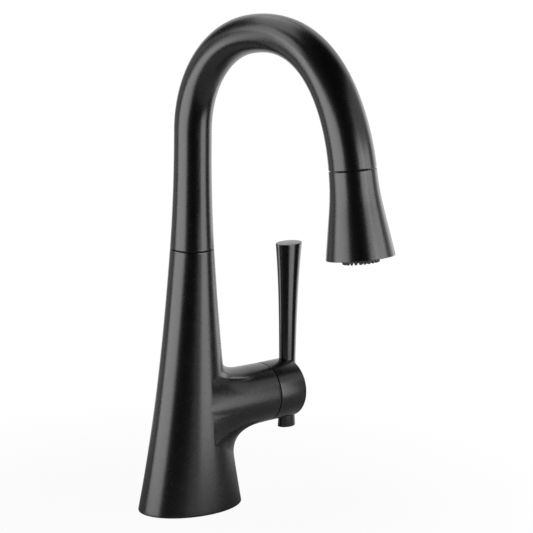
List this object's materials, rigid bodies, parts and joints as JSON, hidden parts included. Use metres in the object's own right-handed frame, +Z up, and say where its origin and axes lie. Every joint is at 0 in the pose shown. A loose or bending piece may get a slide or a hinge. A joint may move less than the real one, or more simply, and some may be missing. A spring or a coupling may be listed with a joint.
{
  "type": "gooseneck bar faucet",
  "caption": "Single-handle gooseneck bar faucet with a swivelling spout, a docking pull-down spray head and a lever mixing valve, in matte black.",
  "frame": {"origin": "centre of the oval base on the deck surface, on the axis that the spout swivels on", "axes": "+Z up the body, +X out along the valve branch to the handle, -Y the way the spout reaches"},
  "size_m": [0.1353, 0.2116, 0.3434],
  "materials": {
    "matte_black_paint": "matte black sprayed coating, softly satin",
    "satin_black_paint": "black coating, glossier than the castings",
    "black_rubber": "moulded black rubber",
    "nozzle_rubber": "dark grey silicone",
    "white_acetal": "natural acetal",
    "dark_plastic": "black moulded plastic",
    "cartridge_plastic": "grey glass-filled plastic",
    "brass": "turned and cast brass",
    "steel": "stainless steel",
    "hose_braid": "woven nylon over the hose"
  },
  "bodies": {
    "body": {"body_shell": "matte_black_paint", "foot_plate": "brass", "deck_gasket": "black_rubber", "plate_screw_left": "steel", "plate_screw_right": "steel", "valve_block": "brass", "spout_post": "brass", "post_nut": "brass", "swivel_washer": "dark_plastic", "lower_bushing": "white_acetal", "friction_ring": "black_rubber", "upper_bushing": "white_acetal", "retaining_clip": "steel", "cartridge_seal": "black_rubber", "cartridge_body": "cartridge_plastic", "cartridge_nut": "brass"},
    "spout": {"spout_tube": "matte_black_paint", "spray_hose": "hose_braid", "dock_magnet": "steel", "dock_collar": "dark_plastic"},
    "spray_head": {"spray_shell": "matte_black_paint", "spray_core": "dark_plastic", "keeper_ring": "steel", "hose_connector": "brass", "inlet_filter": "black_rubber", "hose_end": "hose_braid", "spray_face": "nozzle_rubber", "face_ring": "dark_plastic", "aerator": "dark_plastic"},
    "button": {"mode_button": "matte_black_paint"},
    "rotor": {"cartridge_rotor": "white_acetal"},
    "handle": {"handle_stem": "steel", "handle_hub": "matte_black_paint", "handle_lever": "satin_black_paint", "lever_screw": "steel", "set_screw": "steel"}
  },
  "joints": [
    {"name": "spout_swivel", "type": "hinge", "parent": "body", "child": "spout", "pos_m": [0, 0, 0.1779], "axis": [0, 0, 1], "continuous": true},
    {"name": "spray_pull", "type": "slide", "parent": "spout", "child": "spray_head", "axis": [0, -0.1564, -0.9877], "range_m": [0, 0.03]},
    {"name": "button_press", "type": "slide", "parent": "spray_head", "child": "button", "axis": [0, -0.9877, 0.1564], "range_m": [0, 0.0012], "stiffness_N_per_m": 900},
    {"name": "handle_turn", "type": "hinge", "parent": "body", "child": "rotor", "pos_m": [0.055, 0, 0.0684], "axis": [1, 0, 0], "range_deg": [-50, 50]},
    {"name": "handle_tilt", "type": "hinge", "parent": "rotor", "child": "handle", "pos_m": [0.0643, 0, 0.0483], "axis": [0, 1, 0], "range_deg": [0, 18]}
  ]
}
